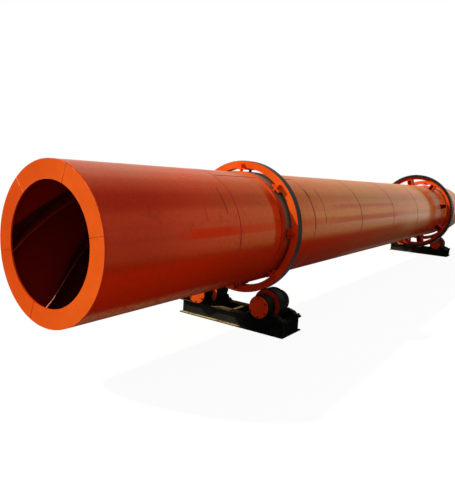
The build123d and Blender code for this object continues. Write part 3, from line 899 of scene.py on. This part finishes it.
chair_count = 8
chair_post_width = 0.018
wrapper_weld_width = 0.014
wrapper_weld_height = 0.010
for station in stations:
    welds = bmesh.new()
    wrapper_low, wrapper_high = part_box(f"{station}_wrapper_plate")
    wrapper_radius = (wrapper_high.y - wrapper_low.y) / 2
    for edge, way in ((wrapper_low.x, -1), (wrapper_high.x, 1)):
        weld_at = edge + way * wrapper_weld_width / 3
        bead_ring(welds, weld_at, drum_radius, wrapper_weld_width, wrapper_weld_height)
    chair_low, chair_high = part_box(f"{station}_ring_chairs")
    for chair in range(chair_count):
        outward, sideways = spokes(math.tau * chair / chair_count)
        for face in (chair_low.x, chair_high.x):
            foot = Vector((face, 0, axis_height)) + outward * wrapper_radius
            half = sideways * (chair_post_width / 2)
            bead(welds, foot - half, foot + half, outward, weld_width, weld_height)
    show(f"{station}_ring_welds", welds, ring_weld_paint, "drum")


# Girth gear: a cut-toothed rim bolted to eight open box brackets, which are welded to the shell.
# Cast steel. The teeth and the rim are dark with grease, and the flange and the brackets painted orange.
gear_iron, tree, shader = new_finish("gear_iron", specular_ior_level=0.02)
along, turn, radius, _ = place_effect(tree, drum_place)
tone, grain = mottled(tree, 6.0, 160.0)
stained = mask_of(tree, spray_stain, scale=9.0, amount=0.5)
gear_rim_bore = 0.800
gear_bore = 0.745
greasy = rise(tree, radius, gear_rim_bore - 0.002, gear_rim_bore + 0.003)
paint = cover(tree, tone, (0.62, 0.055, 0.004), (0.76, 0.085, 0.007))
# The flange is painted dark red all round but for a crescent on the upper right: painted shadow of the rim
# above and to the left, and of the drum below to the right.
paint = cover(tree, rise(tree, turn, 0.075, 0.045), paint, (0.42, 0.018, 0.002))
paint = cover(tree, rise(tree, turn, 0.19, 0.25), paint, (0.46, 0.020, 0.002))
paint = cover(tree, stained, paint, (0.22, 0.018, 0.005))
grease = cover(tree, tone, (0.0045, 0.0065, 0.0045), (0.018, 0.021, 0.016))
# The grease thins out over the back half of the teeth, where the primer shows.
gear_middle = middle_of("girth_gear", "x")
tooth_foot = 0.822
teeth = rise(tree, radius, tooth_foot, tooth_foot + 0.004)
band_mask = times(tree, rise(tree, along, gear_middle, gear_middle + 0.01), teeth)
grease = cover(tree, band_mask, grease, (0.13, 0.026, 0.012))
colour = cover(tree, greasy, paint, grease)
skin(tree, shader, colour, tone, grain, 0.36, 0.55, strength=0.25, depth=0.0015)
dress(gear_iron, "girth_gear")

bracket_count = 8
bracket_phase = math.radians(31.0)
bracket_width = 0.105
bracket_wall = 0.014
gear_bolt_size = 0.030
gear_bolt_spread = 0.020
bracket_low, bracket_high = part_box("gear_brackets")
bolts = bmesh.new()
welds = bmesh.new()
for bracket in range(bracket_count):
    outward, sideways = spokes(bracket_phase + math.tau * bracket / bracket_count)
    centre = Vector((gear_middle, 0, axis_height))
    for spread in (-gear_bolt_spread, gear_bolt_spread):
        seat = centre + outward * (gear_bore - bracket_wall) + Vector((spread, 0, 0))
        hexagon_bolt(bolts, seat, -outward, gear_bolt_size, bead_chance.uniform(0.0, 1.0))
    for way in (-1, 1):
        foot_side = sideways * (way * bracket_width / 2)
        foot_out = outward * math.sqrt(drum_radius**2 - (bracket_width / 2) ** 2)
        foot = Vector((0, 0, axis_height)) + foot_side + foot_out
        start, end = (foot + Vector((corner.x, 0, 0)) for corner in (bracket_low, bracket_high))
        bead(welds, start, end, outward + sideways * way, weld_width, weld_height)
show("gear_bolts", bolts, bolt_black, "drum")
show("gear_bracket_welds", welds, fitting_orange, "drum")


# Stage: a plain pale floor under soft daylight, with one low sun from the left of the feed end.
# The camera stands where the photograph was taken, at eye height by the right of the feed mouth.
floor_half = 60.0
floor_drop = 0.0005
floor_shape = bmesh.new()
floor_shape.faces.new(
    [floor_shape.verts.new((x * floor_half, y * floor_half, -floor_drop))
     for x, y in ((-1, -1), (1, -1), (1, 1), (-1, 1))]
)


def seen_directly(tree):
    """1 for rays from the camera or by way of a gloss or glass, 0 for light that the floor or sky sheds."""
    path = tree.nodes.new("ShaderNodeLightPath").outputs
    seen = sum_up(tree, "MAXIMUM", path["Is Camera Ray"], path["Is Glossy Ray"])
    return sum_up(tree, "MAXIMUM", seen, path["Is Transmission Ray"])


floor_bounce = (0.15, 0.15, 0.15, 1.0)
floor_shade = (0.045, 0.045, 0.045, 1.0)
floor_glow = 0.945
floor_pale = bpy.data.materials.new("floor_pale")
floor_pale.use_nodes = True
tree = floor_pale.node_tree
tree.nodes.remove(tree.nodes["Principled BSDF"])
matt = wire(tree, "ShaderNodeBsdfDiffuse", {"Color": floor_bounce}).outputs[0]
shaded = wire(tree, "ShaderNodeBsdfDiffuse", {"Color": floor_shade}).outputs[0]
glow = wire(tree, "ShaderNodeEmission", {"Color": (1.0, 1.0, 1.0, 1.0), "Strength": floor_glow}).outputs[0]
white = wire(tree, "ShaderNodeAddShader", {0: shaded, 1: glow}).outputs[0]
shown = wire(tree, "ShaderNodeMixShader", {0: seen_directly(tree), 1: matt, 2: white}).outputs[0]
tree.links.new(shown, tree.nodes["Material Output"].inputs["Surface"])
floor = new_piece("floor", floor_shape, floor_pale)

sky_level = 0.60
sky = bpy.data.worlds.new("sky")
scene.world = sky
sky.use_nodes = True
tree = sky.node_tree
sky_light = cover(tree, seen_directly(tree), (sky_level,) * 3, (1.0, 1.0, 1.0))
tree.links.new(sky_light, tree.nodes["Background"].inputs["Color"])

sun_way = Vector((-0.45, 0.59, 0.68))
sun_lamp = bpy.data.lights.new("sun", "SUN")
sun_lamp.energy = 4.5
sun_lamp.angle = math.radians(1.5)
sun_lamp.color = (1.0, 0.97, 0.92)
sun = bpy.data.objects.new("sun", sun_lamp)
sun.rotation_euler = sun_way.to_track_quat("Z", "Y").to_euler()
scene.collection.objects.link(sun)

photo_width, photo_height = 455, 479
focal_pixels = 477.97
centre_pixel = (260.56, 216.93)
sensor_width = 36.0
eye = Vector((-7.994, -3.012, 1.632))
yaw, pitch, roll = (math.radians(degrees) for degrees in (32.437, -4.671, 3.558))
forward = Vector((math.cos(yaw) * math.cos(pitch), math.sin(yaw) * math.cos(pitch), math.sin(pitch)))
level_right = forward.cross(Vector((0, 0, 1))).normalized()
level_up = level_right.cross(forward)
view_right = math.cos(roll) * level_right + math.sin(roll) * level_up
view_up = math.cos(roll) * level_up - math.sin(roll) * level_right
lens = bpy.data.cameras.new("camera")
lens.sensor_fit = "HORIZONTAL"
lens.sensor_width = sensor_width
lens.lens = focal_pixels / photo_width * sensor_width
lens.shift_x = (photo_width / 2 - centre_pixel[0]) / photo_width
lens.shift_y = (centre_pixel[1] - photo_height / 2) / photo_width
lens.clip_end = 200.0
camera = bpy.data.objects.new("camera", lens)
turned = Matrix((view_right, view_up, -forward)).transposed().to_4x4()
camera.matrix_world = Matrix.Translation(eye) @ turned
scene.collection.objects.link(camera)
scene.camera = camera
scene.view_settings.view_transform = "Standard"

bpy.context.view_layer.update()
